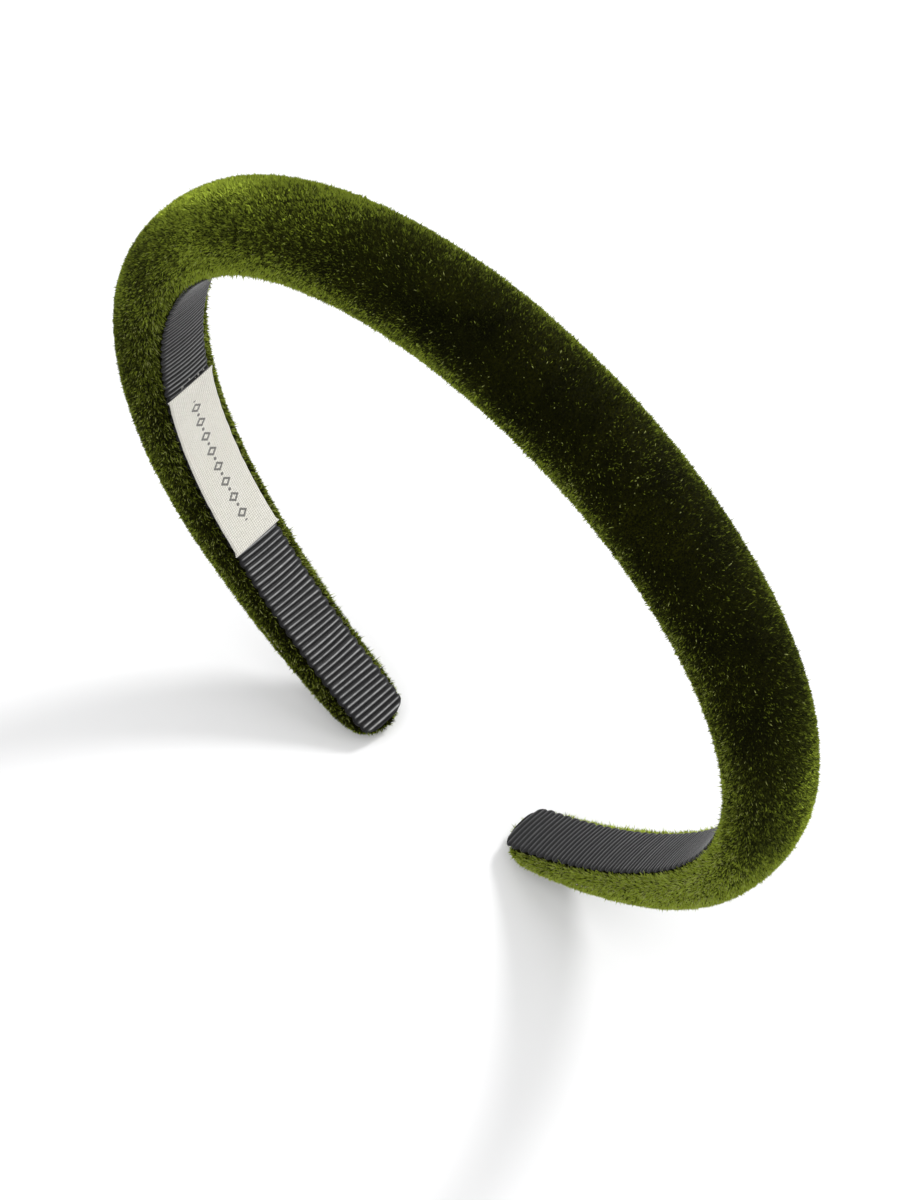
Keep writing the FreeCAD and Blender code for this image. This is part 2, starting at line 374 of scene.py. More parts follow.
def velvet_pile_material():
    """Tufts of pile: nearly black at the root as painted shade and olive at the tip, with a sheen at a
    low angle.
    """
    m = Nodes("velvet_pile", {"Roughness": 0.6, "Specular IOR Level": 0.04, "Sheen Weight": 1.0,
                              "Sheen Roughness": 0.34, "Sheen Tint": srgb(184, 204, 70)})
    tip = m.ramp(m.value("tone"), (0.0, VELVET_ROOT_SHADE), (0.45, VELVET_DEEP), (0.85, VELVET_LIT),
                 (1.0, VELVET_SPARK))
    # Painted shade: each tuft darkens from its tip colour to the near-black of the root.
    m.colour(m.mix(m.math("POWER", m.value("height"), 1.6), VELVET_ROOT_SHADE, tip))
    return m.material


WARP_PITCH_MM = 0.2
# How narrow the painted highlight along each rib's crest is.
CREST_SHARPNESS = 36.0
# Painted shade in the grooves, the ribbon's own charcoal, and a painted highlight on the crests.
PAINTED_GROOVE_SHADE, RIB_LIT, PAINTED_CREST_HIGHLIGHT = srgb(4, 4, 4), srgb(30, 30, 31), srgb(190, 190, 190)


def grosgrain():
    """Charcoal ribbon: warp threads lie along it, over its ribs, in the bump; a painted highlight along
    each crest and painted shade in the grooves show where the painted light is 1.
    """
    m = Nodes("grosgrain", {"Roughness": 0.3, "Specular IOR Level": 0.2, "Sheen Weight": 0.05,
                            "Sheen Roughness": 0.45, "Sheen Tint": srgb(190, 190, 192)})
    _, v = m.uv()
    crest, painted_rib_light = m.value("crest"), m.value("painted_rib_light")
    threads = m.wave(v, WARP_PITCH_MM)
    wear_and_painted_light = m.noise(scale=700.0, detail=3.0)
    # Painted shade in the grooves and a painted highlight along the crests, made uneven by noise, where
    # the painted light is strong.
    valley = m.mix(painted_rib_light, RIB_LIT, PAINTED_GROOVE_SHADE)
    base = m.mix(m.math("POWER", crest, 2.0), valley, RIB_LIT)
    painted_highlight = m.math("MULTIPLY", painted_rib_light, m.math("POWER", crest, CREST_SHARPNESS))
    uneven_painted_highlight = m.math("MULTIPLY", painted_highlight, m.math("MULTIPLY_ADD", wear_and_painted_light, 0.8, 0.35))
    m.colour(m.mix(uneven_painted_highlight, base, PAINTED_CREST_HIGHLIGHT))
    m.roughness(m.math("MULTIPLY_ADD", crest, -0.2, 0.5))
    m.bump(m.math("ADD", threads, m.math("MULTIPLY", wear_and_painted_light, 1.2)), distance=0.02 * MM, strength=0.7)
    return m.material


LABEL_LENGTH, LABEL_WIDTH = 37.5 * MM, 10.3 * MM
LABEL_INK = srgb(58, 58, 58)

# The weave and its motif, in the millimetres of the label's UV map.
WEAVE_PITCH = 0.84
MOTIF_REPEAT, MOTIF_HALF_LENGTH = 3.6, 14.4
LOZENGE_ALONG, LOZENGE_ACROSS = 1.05, 1.25
HOLLOW_ALONG, HOLLOW_ACROSS = 0.5, 0.6
DOT_RADIUS_SQUARED = 0.11


def label_motif(m, u, v):
    """1 on a row of hollow lozenges, with a dot between each two, and 0 elsewhere."""
    half_repeat = MOTIF_REPEAT / 2
    from_start = m.math("FLOORED_MODULO", u, MOTIF_REPEAT)
    along = m.math("ABSOLUTE", m.math("SUBTRACT", from_start, half_repeat))
    across = m.math("ABSOLUTE", v)

    def diamond_reach(half_length, half_width):
        return m.math("ADD", m.math("DIVIDE", along, half_length), m.math("DIVIDE", across, half_width))

    lozenge = m.math("LESS_THAN", diamond_reach(LOZENGE_ALONG, LOZENGE_ACROSS), 1.0)
    hollow = m.math("GREATER_THAN", diamond_reach(HOLLOW_ALONG, HOLLOW_ACROSS), 1.0)
    to_dot = m.math("SUBTRACT", half_repeat, along)
    far_squared = m.math("ADD", m.math("POWER", to_dot, 2.0), m.math("POWER", across, 2.0))
    dot = m.math("LESS_THAN", far_squared, DOT_RADIUS_SQUARED)
    inside = m.math("LESS_THAN", m.math("ABSOLUTE", u), MOTIF_HALF_LENGTH)
    return m.math("MULTIPLY", m.math("MAXIMUM", m.math("MULTIPLY", lozenge, hollow), dot), inside)


def label_cloth():
    """Undyed cotton in a close weave, with a woven row of lozenges and dots along its middle."""
    m = Nodes("label_cloth", {"Roughness": 0.85, "Sheen Weight": 0.2, "Sheen Roughness": 0.5})
    u, v = m.uv()
    weave = m.math("MULTIPLY", m.wave(m.math("ADD", u, v), WEAVE_PITCH),
                   m.wave(m.math("SUBTRACT", u, v), WEAVE_PITCH))
    high = m.mix(m.noise(scale=160.0, detail=3.0), srgb(255, 254, 248), srgb(250, 247, 237))
    low = m.mix(1.0, high, srgb(210, 207, 198), "MULTIPLY")
    cloth = m.mix(m.math("MULTIPLY_ADD", weave, 0.5, 0.5), low, high)
    ink = m.math("MULTIPLY", label_motif(m, u, v), m.math("MULTIPLY_ADD", weave, 0.12, 0.8))
    m.colour(m.mix(ink, cloth, LABEL_INK))
    fibres = m.math("MULTIPLY", m.noise(scale=1500.0), 0.8)
    m.bump(m.math("ADD", weave, fibres), distance=0.11 * MM)
    return m.material


def glue(name):
    """Clear hot-melt glue."""
    m = Nodes(name, {"Roughness": 0.25, "IOR": 1.48})
    m.colour(m.ramp(m.noise(scale=500.0), (0.3, srgb(140, 139, 134)), (0.8, srgb(190, 189, 184))))
    m.bump(m.noise(scale=900.0), distance=0.05 * MM)
    return m.material


def foam():
    """Open-cell foam."""
    m = Nodes("open_cell_foam", {"Roughness": 0.95})
    cells = m.add("ShaderNodeTexVoronoi", Vector=m.position(), Scale=1100.0).outputs["Distance"]
    m.colour(m.ramp(cells, (0.1, srgb(160, 150, 120)), (0.6, srgb(226, 220, 196))))
    m.bump(cells, distance=0.3 * MM)
    return m.material


def core_plastic():
    """Satin black moulded plastic with faint flow marks."""
    m = Nodes("core_plastic", {"Roughness": 0.45})
    flow = m.noise(scale=120.0, detail=4.0)
    m.colour(m.ramp(flow, (0.3, srgb(18, 18, 19)), (0.7, srgb(30, 30, 31))))
    m.roughness(m.math("MULTIPLY_ADD", flow, 0.15, 0.38))
    m.bump(flow, distance=0.05 * MM)
    return m.material


def floor_paper():
    """Nearly white paper with a very faint cloudiness."""
    m = Nodes("floor_paper", {"Roughness": 0.75, "Specular IOR Level": 0.2})
    m.colour(m.ramp(m.noise(scale=30.0), (0.3, (0.93, 0.93, 0.935, 1)), (0.7, (0.95, 0.95, 0.955, 1))))
    return m.material


def wear(obj, material):
    obj.data.materials.clear()
    obj.data.materials.append(material)


# ------------------------------------------------------------------ padding

TIP_MARGIN = 0.9995


def lengths_to_tips(inset, step, tip_step):
    """s from tip to tip, closer together over the rounded tips and just short of their ends."""
    end, body = ARM - inset, ARM - TIP_ROUNDING
    tips = np.linspace(0.0, 1.0, round(TIP_ROUNDING / tip_step))
    tip = body + (end - body) * np.sin(0.5 * math.pi * tips) * TIP_MARGIN
    middle = np.linspace(-body, body, round(2 * body / step))
    return np.concatenate([-tip[::-1], middle[1:-1], tip])


COVER_AROUND = 32
COVER_STEP, COVER_TIP_STEP = 2.3 * MM, 0.9 * MM
GROUND_INSET = 0.5 * MM
BEFORE_FILLING = 0.35 * MM
UNEVEN_FILLING = 0.16 * MM
SWELL_CAP = 0.6 * MM

# Heights round the section, from -1 in the middle of the inner face to 1 at the top of the padding.
GLUED_BELOW, UNEVEN_ABOVE = -0.85, -0.2

CLOTH_SCALE = 20.0
CLOTH_PRESSURE = 4.0
CLOTH_STIFFNESS = 20.0
CLOTH_BENDING = 2.0
CLOTH_QUALITY, CLOTH_FRAMES = 6, 20


def inflate(piece, glued, cap):
    """Pressure swells the piece as cloth, at cushion size; the glued points stay where they are."""
    rest = coords(piece)
    set_coords(piece, rest * CLOTH_SCALE)
    group = piece.vertex_groups.new(name="glued")
    group.add(np.flatnonzero(glued).tolist(), 1.0, "REPLACE")
    cloth = piece.modifiers.new("cloth", "CLOTH")
    settings = cloth.settings
    settings.vertex_group_mass = "glued"
    settings.use_pressure = True
    settings.uniform_pressure_force = CLOTH_PRESSURE
    settings.effector_weights.gravity = 0.0
    settings.tension_stiffness = settings.compression_stiffness = CLOTH_STIFFNESS
    settings.shear_stiffness = 0.5 * CLOTH_STIFFNESS
    settings.bending_stiffness = CLOTH_BENDING
    settings.quality = CLOTH_QUALITY
    cloth.collision_settings.use_collision = False
    cloth.point_cache.frame_start, cloth.point_cache.frame_end = 1, CLOTH_FRAMES
    scene = bpy.context.scene
    for frame_number in range(1, CLOTH_FRAMES + 1):
        scene.frame_set(frame_number)
    apply_modifiers(piece)
    scene.frame_set(1)
    move = coords(piece) / CLOTH_SCALE - rest
    far = np.linalg.norm(move, axis=1, keepdims=True)
    set_coords(piece, rest + move * np.minimum(1.0, cap / np.maximum(far, 1e-9)))


def velvet_cover():
    """The velvet's woven ground round the padding, glued down inside under the ribbon.

    It starts a little slim, because the cloth step fills it out.
    """
    start_inset = GROUND_INSET + BEFORE_FILLING
    s = lengths_to_tips(start_inset, COVER_STEP, COVER_TIP_STEP)[:, None]
    angle = angles_round(COVER_AROUND)
    y, out = section(s, angle, start_inset)
    full = np.clip((ARM - np.abs(s)) / TIP_ROUNDING, 0.0, 1.0)
    uneven = noise_grid(s, angle, 70, 0.7, 3.0)
    out = out + UNEVEN_FILLING * uneven * full * (np.sin(angle) > UNEVEN_ABOVE)
    cover = ring_tube("velvet_cover", place(s, y, out))
    under_ribbon = np.broadcast_to(np.sin(angle) < GLUED_BELOW, y.shape)
    inflate(cover, with_middles(under_ribbon, at_middles=True), SWELL_CAP)
    subdivide(cover, 2)
    shade_smooth(cover)
    wear(cover, velvet_ground())
    return cover


STRIP_AROUND, STRIP_STEP, STRIP_CORNER = 16, 2.0 * MM, 0.3
STRIP_END_WIDTH = 0.35


def filled_strip(name, half_width, low, high, end):
    """A flat strip along the band with soft edges and round ends, from out = low to out = high."""
    s = np.linspace(-end, end, round(2 * end / STRIP_STEP))[:, None]
    angle = angles_round(STRIP_AROUND, shift=0.5)
    across, up = signed_power(np.cos(angle), STRIP_CORNER), signed_power(np.sin(angle), STRIP_CORNER)
    to_go = np.clip((end - np.abs(s)) / half_width, 0.0, 1.0)
    taper = STRIP_END_WIDTH + (1 - STRIP_END_WIDTH) * quarter_round(to_go)
    out = 0.5 * (low + high) + 0.5 * (high - low) * up
    return ring_tube(name, place(s, half_width * taper * across, out))


# ------------------------------------------------------------------ pile

PILE_PITCH, PILE_LENGTH = 0.27 * MM, 0.55 * MM
ROW_JITTER = 0.3
TUFT_RADIUS, TUFT_SINK = 0.18 * MM, 0.1 * MM
FLOOR_GAP = 0.02 * MM
RIBBON_HALF = 5.0 * MM
RIBBON_COVERS, RIBBON_MISSES = RIBBON_HALF + 0.1 * MM, 1.2 * MM
PILE_SPANS = {
    "left_tail": (-ARM, -105 * MM),
    "left_side": (-105 * MM, -38 * MM),
    "crown": (-38 * MM, 38 * MM),
    "right_side": (38 * MM, 105 * MM),
    "right_tail": (105 * MM, ARM),
}

# Frequencies of the pile's unevenness, per metre: patches, clumps of tufts, and tufts that lean.
PATCH_SCALE, CLUMP_SCALE, LEAN_SCALE = 70, 850, 1300

# The direction of a tuft leaves the cloth's normal by these shares of it.
TUFT_BACK, TUFT_PATCHES, TUFT_SCATTER = 0.1, 0.2, 0.45

# The length of a tuft as a share of PILE_LENGTH, and what clumps and the ribbon's edge add to it.
LENGTH_RANGE = (0.75, 1.15)
CLUMP_LENGTH, FRINGE_LENGTH = 0.45, 0.7
STRAY_SHARE, STRAY_LENGTH = 0.05, 1.6
FRINGE = 2.4 * MM

# How the nap is turned toward the right tip, in shares of the cloth's normal, along the band.
NAP_LENGTHS = tuple(s * MM for s in (-150, -95, -75, -48, -25, 15, 60, 115, 150))
NAP_TURNS = (0.0, 0.15, 0.1, -0.34, -0.27, -0.26, -0.3, 0.12, 0.65)

# What patches and leaning tufts add to the direction that a tuft is shaded in, in the same shares.
FACING_PATCHES, FACING_LEAN = 0.2, 0.3

# The last stretch of the right arm, where painted light lightens the pile, and the height round the
# section below which painted rim light lightens the pile toward the ribbon.
PAINTED_LIGHT_FROM, PAINTED_LIGHT_OVER = 104 * MM, 26 * MM
PAINTED_RIM_LIGHT_BELOW = 0.7

# The spread of the shading, the share of tufts with a painted glint and the mean tone of the rest:
# everywhere, and what the painted rim light and the painted light at the right end add to that.
SPREAD, SPREAD_RIM_LIGHT, SPREAD_LIT_END = 0.15, 0.12, 0.2
SPARKS, SPARKS_RIM_LIGHT, SPARKS_LIT_END = 0.004, 0.03, 0.15
TONE, TONE_RIM_LIGHT, TONE_LIT_END = 0.2, 0.3, 0.3

# How far the tone varies: by patches, by clumps and at random, and what the painted light at the right
# end adds to that.
TONE_PATCHES = 0.18
TONE_CLUMPS, TONE_CLUMPS_LIT_END = 0.25, 0.35
TONE_RANDOM, TONE_RANDOM_LIT_END = 0.22, 0.16


def pile_roots(first, last):
    """s and angle of tufts in staggered rows round the section, between two lengths."""
    roots = []
    half_turn = np.linspace(0.0, math.pi, 181)
    for row, s in enumerate(np.arange(first, last, PILE_PITCH)):
        for side in (-1, 1):
            angle = 0.5 * math.pi + side * half_turn
            y, out = section(s, angle, GROUND_INSET)
            along = np.concatenate([[0.0], np.cumsum(np.hypot(np.diff(y), np.diff(out)))])
            steps = np.arange(0.5 * PILE_PITCH * (row % 2), along[-1], PILE_PITCH)
            if side > 0:
                steps = steps[steps > 0]
            angles = np.interp(steps, along, angle)
            roots.append(np.stack([np.full_like(angles, s), angles], -1))
    return np.concatenate(roots)


def bare_under_ribbon(roots):
    """The roots that the ribbon doesn't cover."""
    y, _ = section(roots[:, 0], roots[:, 1], GROUND_INSET)
    covered = (np.abs(y) < RIBBON_COVERS) & (np.sin(roots[:, 1]) < 0)
    return roots[~(covered & (np.abs(roots[:, 0]) < ARM - RIBBON_MISSES))]


def unit(vectors):
    return vectors / np.linalg.norm(vectors, axis=1, keepdims=True)


def tuft_lengths(clumps, beside_ribbon, random):
    """Uneven lengths: longer in some clumps and beside the ribbon, and a few stray long tufts."""
    count = len(clumps)
    stray = np.where(random.uniform(size=(count, 1)) < STRAY_SHARE, STRAY_LENGTH, 1.0)
    length = stray * PILE_LENGTH * random.uniform(*LENGTH_RANGE, (count, 1))
    return length * (1 + CLUMP_LENGTH * clumps) * (1 + FRINGE_LENGTH * beside_ribbon[:, None])


def tuft_points(base, normal, tips, random):
    """Four points for each tuft: three of its root and its tip, none of them below the floor."""
    turn = random.uniform(0.0, 2 * math.pi, len(base))
    first_axis = unit(np.cross(normal, [0.0, 1.0, 0.05]))
    second_axis = np.cross(normal, first_axis)
    points = np.empty((len(base), 4, 3))
    for k in range(3):
        a = (turn + 2 * math.pi * k / 3)[:, None]
        spoke = np.cos(a) * first_axis + np.sin(a) * second_axis
        points[:, k] = base - TUFT_SINK * normal + TUFT_RADIUS * spoke
    points[:, 3] = tips
    points[:, :, 2] = np.maximum(points[:, :, 2], FLOOR_GAP)
    return points


def tuft_tones(patches, clumps, painted_rim_light, wear_and_painted_light, random):
    """The colour of each tuft's tip, from 0 where it is dark to 1 for a painted glint; painted rim light
    and painted light at the right end raise it.
    """
    count = len(clumps)
    by_clump = TONE_CLUMPS + TONE_CLUMPS_LIT_END * wear_and_painted_light
    tone = (TONE + TONE_PATCHES * patches[:, 0] + by_clump * clumps[:, 0]
            + TONE_RIM_LIGHT * painted_rim_light + TONE_LIT_END * wear_and_painted_light)
    at_random = TONE_RANDOM + TONE_RANDOM_LIT_END * wear_and_painted_light
    tone = np.clip(tone + at_random * random.normal(size=count), 0.0, 1.0)
    sparks = SPARKS + SPARKS_RIM_LIGHT * painted_rim_light + SPARKS_LIT_END * wear_and_painted_light
    return np.where(random.uniform(size=count) < sparks, 1.0, tone)


def velvet_pile(name, first, last, tree, material, random):
    """A stretch of pile: one closed tuft on each root, shaded as the nap lies."""
    roots = pile_roots(first, last)
    roots[:, 0] += random.uniform(-ROW_JITTER, ROW_JITTER, len(roots)) * PILE_PITCH
    roots = bare_under_ribbon(roots)
    s, angle = roots[:, 0], roots[:, 1]
    y, out = section(s, angle, GROUND_INSET)
    found = [tree.find_nearest(point) for point in place(s, y, out)]
    base = np.array([hit[0] for hit in found])
    normal = np.array([hit[1] for hit in found])
    along = unit(place(s + 0.5 * MM, y, out) - place(s - 0.5 * MM, y, out))
    count = len(base)
    patches = noise_vectors_at(base, PATCH_SCALE)
    clumps = noise_at(base, CLUMP_SCALE)
    leaning = noise_vectors_at(base, LEAN_SCALE)

    scatter = random.normal(0.0, TUFT_SCATTER, (count, 3))
    direction = unit(normal - TUFT_BACK * along + TUFT_PATCHES * patches + scatter)
    beside_ribbon = (np.abs(y) < RIBBON_HALF + FRINGE) & (np.sin(angle) < 0)
    tips = base + tuft_lengths(clumps, beside_ribbon, random) * direction
    points = tuft_points(base, normal, tips, random)
    starts = 4 * np.arange(count)[:, None, None]
    faces = (starts + np.array([[0, 2, 1], [0, 1, 3], [1, 2, 3], [2, 0, 3]])).reshape(-1, 3)
    pile = new_object(name, points, faces.tolist())

    nap = np.interp(s[:, None], NAP_LENGTHS, NAP_TURNS)
    # Painted rim light on the pile toward the ribbon, and painted light over the last stretch of the
    # right arm.
    painted_rim_light = np.clip(PAINTED_RIM_LIGHT_BELOW - np.sin(angle), 0.0, 1.0)
    wear_and_painted_light = np.clip((s - PAINTED_LIGHT_FROM) / PAINTED_LIGHT_OVER, 0.0, 1.0)
    spread = (SPREAD + SPREAD_RIM_LIGHT * painted_rim_light + SPREAD_LIT_END * wear_and_painted_light)[:, None]
    facing = unit(normal + nap * along + FACING_PATCHES * patches + FACING_LEAN * leaning
                  + spread * random.normal(size=(count, 3)))
    pile.data.normals_split_custom_set_from_vertices(np.repeat(facing, 4, 0).tolist())
    add_value(pile, "height", np.tile([0.0, 0.0, 0.0, 1.0], count))
    add_value(pile, "tone", np.repeat(tuft_tones(patches, clumps, painted_rim_light, wear_and_painted_light, random), 4))
    wear(pile, material)
    bend_over_crown(pile, np.repeat(s, 4))


# ------------------------------------------------------------------ ribbon and label

RIB_PITCH, RIB_RISE, RIB_SAMPLES = 1.14 * MM, 0.38 * MM, 10
RIBBON_FRONT, RIBBON_BACK = 0.28 * MM, 0.44 * MM
RIBBON_CURL = 0.3 * MM
RIBBON_END = ARM - 1.5 * MM
RIBBON_CORNER = 2.8 * MM
RIBBON_ACROSS, BACK_ACROSS = 17, (0.8, 0.3, -0.3, -0.8)
EDGE_LOOP, EDGE_INSET = 0.42 * MM, 0.1 * MM
EDGE_SHARPNESS = 40

# How the ribs slant and arch across the ribbon, and how unevenly they follow each other.
RIB_SLANT, SLANT_WANDER, ARCH_WANDER, PITCH_WANDER = 0.35, 0.5, 0.3, 0.12

# Painted highlights along the rib crests and painted shade in the grooves are full from the left tip up
# to the first length, and then fade.
PAINTED_RIB_LIGHT_LENGTHS, PAINTED_RIB_LIGHT = (-112 * MM, -88 * MM), (1.0, 0.2)


def grosgrain_lining():
    """Ribbed ribbon from tip to tip, with a looped edge."""
    s = np.arange(-RIBBON_END, RIBBON_END, RIB_PITCH / RIB_SAMPLES)[:, None]
    across = np.sin(np.linspace(-0.5, 0.5, RIBBON_ACROSS) * math.pi)[None]
    back = np.array(BACK_ACROSS)[None]
    slow, quick = noise_grid(s, 5.0, 120, 1.0, 0.0), noise_grid(s, 2.0, 900, 1.0, 0.0)
    bow = (RIB_SLANT + SLANT_WANDER * slow) * across + ARCH_WANDER * slow * across**2
    phase = s / RIB_PITCH + 0.5 * bow + PITCH_WANDER * quick
    rib = np.sqrt(np.maximum(0.0, 1 - (2 * (phase % 1.0) - 1) ** 2))
    loops = np.abs(np.sin(0.5 * math.pi * s / RIB_PITCH))
    to_go = np.clip((RIBBON_END - np.abs(s)) / RIBBON_CORNER, 0.0, 1.0)
    half = RIBBON_HALF - EDGE_INSET + EDGE_LOOP * loops - RIBBON_CORNER * (1 - quarter_round(to_go))
    edge = 1 - np.abs(across) ** EDGE_SHARPNESS
    front = RIBBON_FRONT - RIB_RISE * rib * edge + RIBBON_CURL * across**2
    y = np.concatenate([half * across, half * back], 1)
    out = np.concatenate([front, RIBBON_BACK + RIBBON_CURL * back**2 + 0 * s], 1)
    ribbon = ring_tube("grosgrain_lining", place(s, y, out))
    lengths = s + 0 * y
    crest = np.concatenate([rib * edge, np.zeros((len(s), len(BACK_ACROSS)))], 1)
    add_value(ribbon, "crest", with_middles(crest))
    # The painted light on the ribs, along the band.
    add_value(ribbon, "painted_rib_light", with_middles(np.interp(lengths, PAINTED_RIB_LIGHT_LENGTHS, PAINTED_RIB_LIGHT)))
    add_uv(ribbon, with_middles(lengths), with_middles(y))
    wear(ribbon, grosgrain())
    return ribbon


LABEL_START = -107.5 * MM
LABEL_FRONT = -0.34 * MM
LABEL_THICK, FOLD_THICK = 0.2 * MM, 0.16 * MM
LABEL_RINGS, LABEL_ACROSS = 120, 25
LABEL_WAVE, LABEL_CURL, LABEL_EDGE_WAVE = 0.05 * MM, 0.08 * MM, 0.12 * MM
FOLD_REACH, FOLD_EASE, FOLD_RISE = 3.2 * MM, 0.8 * MM, 0.12 * MM
END_FLARE, END_ROLL, END_THIN = 0.4 * MM, 0.35 * MM, 0.3


def woven_label():
    """Label on the left arm: its ends are folded under, and it lies over the ribs."""
    u = np.linspace(-0.5, 0.5, LABEL_RINGS)[:, None] * LABEL_LENGTH
    s = LABEL_START - 0.5 * LABEL_LENGTH + u
    across = np.linspace(-1.0, 1.0, LABEL_ACROSS)[None]
    to_end = 0.5 * LABEL_LENGTH - np.abs(u)
    wave = noise_grid(s, across, 260, 2.0, 9.0)
    edge_wave = noise_grid(s, (-7.0, 7.0), 420, 1.0, 4.0)
    half = 0.5 * LABEL_WIDTH + LABEL_EDGE_WAVE * np.where(across < 0, edge_wave[:, :1], edge_wave[:, 1:])
    half = half + END_FLARE * np.clip(1 - to_end / FOLD_EASE, 0.0, 1.0)
    folded = np.clip(1 - (to_end - FOLD_REACH) / FOLD_EASE, 0.0, 1.0)
    roll = quarter_round(np.clip(to_end / END_ROLL, 0.0, 1.0))
    thickness = (LABEL_THICK + FOLD_THICK * folded) * (END_THIN + (1 - END_THIN) * roll)
    front = LABEL_FRONT + LABEL_WAVE * wave - FOLD_RISE * folded * roll + LABEL_CURL * across**6
    y = half * across
    back = front + thickness
    rings_y = np.concatenate([y, y[:, ::-1]], 1)
    rings_out = np.concatenate([front, back[:, ::-1]], 1)
    label = ring_tube("woven_label_cloth", place(s, rings_y, rings_out))
    add_uv(label, with_middles(u + 0 * rings_y), with_middles(rings_y))
    wear(label, label_cloth())
    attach(label, "left_arm")
    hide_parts("woven_label")


# ------------------------------------------------------------------ inside the padding

CORE_BACK, CORE_FRONT, CORE_HALF, CORE_END = 2.8 * MM, 1.75 * MM, 4.8 * MM, ARM - 2.2 * MM
TAPE_FRONT, TAPE_BACK, TAPE_HALF, TAPE_END = 2.82 * MM, 2.98 * MM, 4.0 * MM, ARM - 16.0 * MM
GLUE_FRONT, GLUE_BACK, GLUE_HALF, GLUE_END = 0.45 * MM, 1.1 * MM, 4.0 * MM, ARM - 3.5 * MM
FOAM_FRONT, FOAM_END, FOAM_CLOSING = 3.1 * MM, ARM - 15.0 * MM, 6.0 * MM
FOAM_INSET = GROUND_INSET + 0.7 * MM
FOAM_RINGS, FOAM_AROUND = 150, 28
FOAM_LUMPS, FOAM_END_WIDTH = 0.012, 0.4


def core_strip():
    """The springy plastic strip that gives the band its shape."""
    core = filled_strip("core_strip", CORE_HALF, CORE_FRONT, CORE_BACK, CORE_END)
    wear(core, core_plastic())
    return core


def foam_tape():
    """Double-sided tape between the core strip and the foam."""
    tape = filled_strip("foam_tape", TAPE_HALF, TAPE_FRONT, TAPE_BACK, TAPE_END)
    wear(tape, glue("foam_tape_film"))
    return tape


def lining_glue():
    """Film of glue between the velvet's hems and the ribbon."""
    film = filled_strip("lining_glue", GLUE_HALF, GLUE_FRONT, GLUE_BACK, GLUE_END)
    wear(film, glue("lining_glue_film"))
    return film


def foam_pad():
    """Foam between the core strip and the velvet, with a flat underside and slightly lumpy sides."""
    s = np.linspace(-FOAM_END, FOAM_END, FOAM_RINGS)[:, None]
    angle = angles_round(FOAM_AROUND)
    y, out = section(s, angle, FOAM_INSET)
    closing = quarter_round(np.clip((FOAM_END - np.abs(s)) / FOAM_CLOSING, 0.0, 1.0))
    out = FOAM_FRONT + np.maximum(out - FOAM_FRONT, 0.0) * closing
    lumps = noise_grid(s, angle, 200, 1.5, 8.0)
    y = y * (FOAM_END_WIDTH + (1 - FOAM_END_WIDTH) * closing) * (1 - FOAM_LUMPS * (1 + lumps))
    pad = ring_tube("foam_pad", place(s, y, out))
    subdivide(pad, 1)
    wear(pad, foam())
    return pad


# ------------------------------------------------------------------ glue at the label

FILM_HALF, FILM_MARGIN = 4.1 * MM, 1.2 * MM
FILM_OUT, FILM_HALF_DEPTH = 0.02 * MM, 0.06 * MM
FILM_RINGS, FILM_AROUND = 40, 12

# The beads: how far past the label they lie, where across the ribbon, their radius, all in
# millimetres, and how much longer, wider and flatter than a ball they are.
BEAD_COUNT, BEAD_OUT = 9, -0.02 * MM
BEAD_PAST_LABEL, BEAD_ACROSS, BEAD_RADIUS = (0.1, 1.1), (-3.4, 3.8), (0.07, 0.17)
BEAD_LONG, BEAD_WIDE, BEAD_FLAT = (0.8, 2.6), (0.8, 1.3), 0.7


def label_glue_beads(random):
    """Drops and threads of glue that show past the label's upper end, over a film below it."""
    lower, upper = LABEL_START - LABEL_LENGTH + FILM_MARGIN, LABEL_START - FILM_MARGIN
    film_s = np.linspace(lower, upper, FILM_RINGS)[:, None]
    angle = angles_round(FILM_AROUND)
    film = place(film_s, FILM_HALF * np.cos(angle), FILM_OUT + FILM_HALF_DEPTH * np.sin(angle))
    beads = ring_tube("label_glue_beads", film)
    parts = [beads]
    for k in range(BEAD_COUNT):
        s = LABEL_START + random.uniform(*BEAD_PAST_LABEL) * MM
        y = random.uniform(*BEAD_ACROSS) * MM
        radius = random.uniform(*BEAD_RADIUS) * MM
        bpy.ops.mesh.primitive_ico_sphere_add(subdivisions=2, radius=1.0)
        bead = bpy.context.object
        bead.name = f"bead_{k}"
        stretch = np.array([random.uniform(*BEAD_LONG), random.uniform(*BEAD_WIDE), BEAD_FLAT])
        shape = coords(bead) * stretch * radius
        set_coords(bead, place(s + shape[:, 0], y + shape[:, 1], BEAD_OUT + shape[:, 2]))
        parts.append(bead)
    with bpy.context.temp_override(active_object=beads, selected_editable_objects=parts):
        bpy.ops.object.join()
    shade_smooth(beads)
    wear(beads, glue("label_glue_clear"))
    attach(beads, "left_arm")
    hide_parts("label_glue")


# ------------------------------------------------------------------ floor, camera and lights

FLOOR_HALF = 6


def floor():
    """A wide plain floor at z = 0, where the two tips stand."""
    corners = [(-FLOOR_HALF, -FLOOR_HALF, 0), (FLOOR_HALF, -FLOOR_HALF, 0),
               (FLOOR_HALF, FLOOR_HALF, 0), (-FLOOR_HALF, FLOOR_HALF, 0)]
    plane = new_object("floor", corners, [(0, 1, 2, 3)], smooth=False)
    plane.data.materials.append(floor_paper())
    return plane


CAMERA_AZIMUTH, CAMERA_ELEVATION, CAMERA_ROLL = 41.52, 56.87, 0.69
CAMERA_DISTANCE = 790.6 * MM
CAMERA_CENTRE = Vector((0.0, 0.0, 78.92 * MM))
AIM_RIGHT, AIM_UP = -1.02 * MM, -9.87 * MM
LENS_MM, SENSOR_MM = 142.3, 36.0


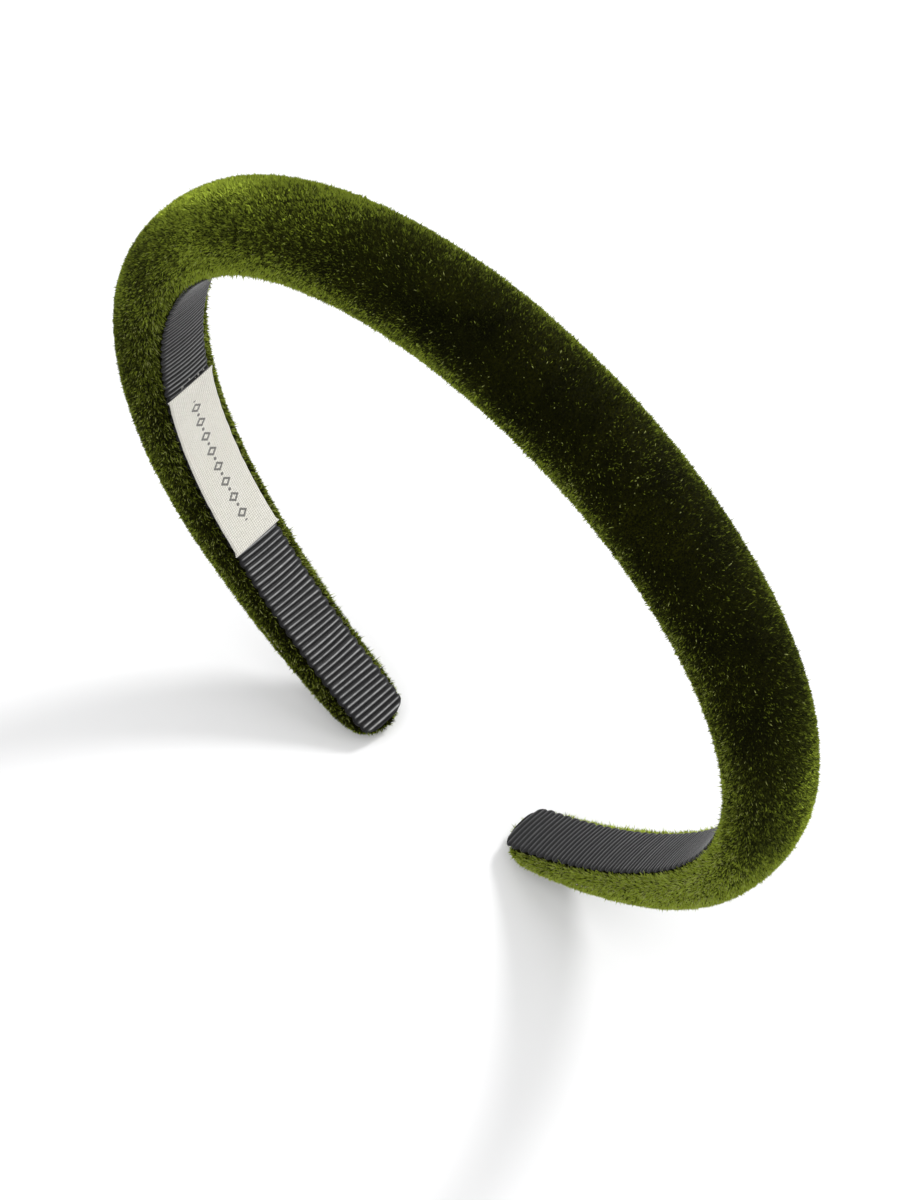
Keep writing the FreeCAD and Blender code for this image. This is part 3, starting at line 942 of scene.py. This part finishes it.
def camera():
    """A long lens that looks down on the band from its front right, aimed a little off its centre."""
    azimuth, elevation = math.radians(CAMERA_AZIMUTH), math.radians(CAMERA_ELEVATION)
    back = Vector((math.sin(azimuth) * math.cos(elevation), -math.cos(azimuth) * math.cos(elevation),
                   math.sin(elevation)))
    right = Vector((math.cos(azimuth), math.sin(azimuth), 0.0))
    up = back.cross(right)
    roll = math.radians(CAMERA_ROLL)
    right, up = right * math.cos(roll) + up * math.sin(roll), up * math.cos(roll) - right * math.sin(roll)
    stand = CAMERA_CENTRE + back * CAMERA_DISTANCE
    back = (stand - (CAMERA_CENTRE + right * AIM_RIGHT + up * AIM_UP)).normalized()
    right = up.cross(back).normalized()
    up = back.cross(right)
    lens = bpy.data.cameras.new("camera")
    lens.lens, lens.sensor_width = LENS_MM, SENSOR_MM
    lens.clip_start, lens.clip_end = 0.01, 50.0
    eye = bpy.data.objects.new("camera", lens)
    bpy.context.scene.collection.objects.link(eye)
    eye.matrix_world = Matrix.Translation(stand) @ Matrix((right, up, back)).transposed().to_4x4()
    bpy.context.scene.camera = eye


SUN_FROM = Vector((0.12, 0.985, 0.86))
SUN_STRENGTH, SUN_SOFTNESS = 1.5, math.radians(12.0)
SKY_STRENGTH = 0.98


def lights():
    """One large soft light from behind and above, in a white room."""
    sun = bpy.data.lights.new("soft_key", "SUN")
    sun.energy, sun.angle = SUN_STRENGTH, SUN_SOFTNESS
    key = bpy.data.objects.new("soft_key", sun)
    key.rotation_euler = SUN_FROM.to_track_quat("Z", "Y").to_euler()
    bpy.context.scene.collection.objects.link(key)
    world = bpy.data.worlds.new("white_room")
    bpy.context.scene.world = world
    world.use_nodes = True
    room = world.node_tree.nodes["Background"]
    room.inputs["Color"].default_value = (1.0, 1.0, 1.0, 1.0)
    room.inputs["Strength"].default_value = SKY_STRENGTH
    bpy.context.scene.view_settings.view_transform = "Standard"


# ------------------------------------------------------------------ build

# noise_vector takes its offsets from the clock until the noise is seeded.
SEED = 7
noise.seed_set(SEED)
random = np.random.default_rng(SEED)

cover = velvet_cover()
cover_tree = BVHTree.FromObject(cover, bpy.context.evaluated_depsgraph_get())
bend_over_crown(cover)
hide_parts("velvet_cover_left", "velvet_cover_right")

pile_material = velvet_pile_material()
for part_name, (first, last) in PILE_SPANS.items():
    velvet_pile(f"velvet_pile_{part_name}", first, last, cover_tree, pile_material, random)

for make in (foam_pad, core_strip, foam_tape, lining_glue, grosgrain_lining):
    piece = make()
    bend_over_crown(piece)
    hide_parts(f"{piece.name}_left", f"{piece.name}_right")
woven_label()
label_glue_beads(random)

floor()
camera()
lights()
